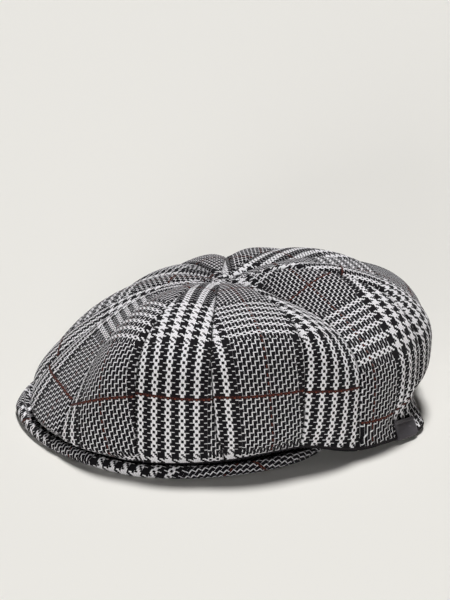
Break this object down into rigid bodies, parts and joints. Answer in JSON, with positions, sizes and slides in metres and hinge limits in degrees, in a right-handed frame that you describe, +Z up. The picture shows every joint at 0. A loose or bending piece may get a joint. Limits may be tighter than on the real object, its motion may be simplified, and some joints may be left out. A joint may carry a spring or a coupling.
{
  "type": "newsboy cap",
  "caption": "Newsboy cap in glen check cloth, panelled crown over a small peak, resting flat.",
  "frame": {"origin": "middle of the cap's outline, on the surface that it rests on", "axes": "+Z up, -Y towards the front of the cap, +X towards the wearer's left"},
  "size_m": [0.2341, 0.2637, 0.0967],
  "materials": {
    "crown_panel_01": "woven glen check wool",
    "crown_panel_02": "woven glen check wool",
    "crown_panel_03": "woven glen check wool",
    "crown_panel_04": "woven glen check wool",
    "crown_panel_05": "woven glen check wool",
    "crown_panel_06": "woven glen check wool",
    "crown_panel_07": "woven glen check wool",
    "crown_panel_08": "woven glen check wool",
    "crown_panel_09": "woven glen check wool",
    "crown_panel_10": "woven glen check wool",
    "crown_panel_11": "woven glen check wool",
    "crown_panel_12": "woven glen check wool",
    "crown_panel_13": "woven glen check wool",
    "crown_panel_14": "woven glen check wool",
    "peak": "glen check wool over board",
    "inner_band": "black woven band",
    "leather_tab": "matte grained"
  },
  "bodies": {
    "root": {"crown_panel_01": "crown_panel_01", "crown_panel_02": "crown_panel_02", "crown_panel_03": "crown_panel_03", "crown_panel_04": "crown_panel_04", "crown_panel_05": "crown_panel_05", "crown_panel_06": "crown_panel_06", "crown_panel_07": "crown_panel_07", "crown_panel_08": "crown_panel_08", "crown_panel_09": "crown_panel_09", "crown_panel_10": "crown_panel_10", "crown_panel_11": "crown_panel_11", "crown_panel_12": "crown_panel_12", "crown_panel_13": "crown_panel_13", "crown_panel_14": "crown_panel_14", "peak": "peak", "inner_band": "inner_band", "leather_tab": "leather_tab"}
  },
  "joints": []
}
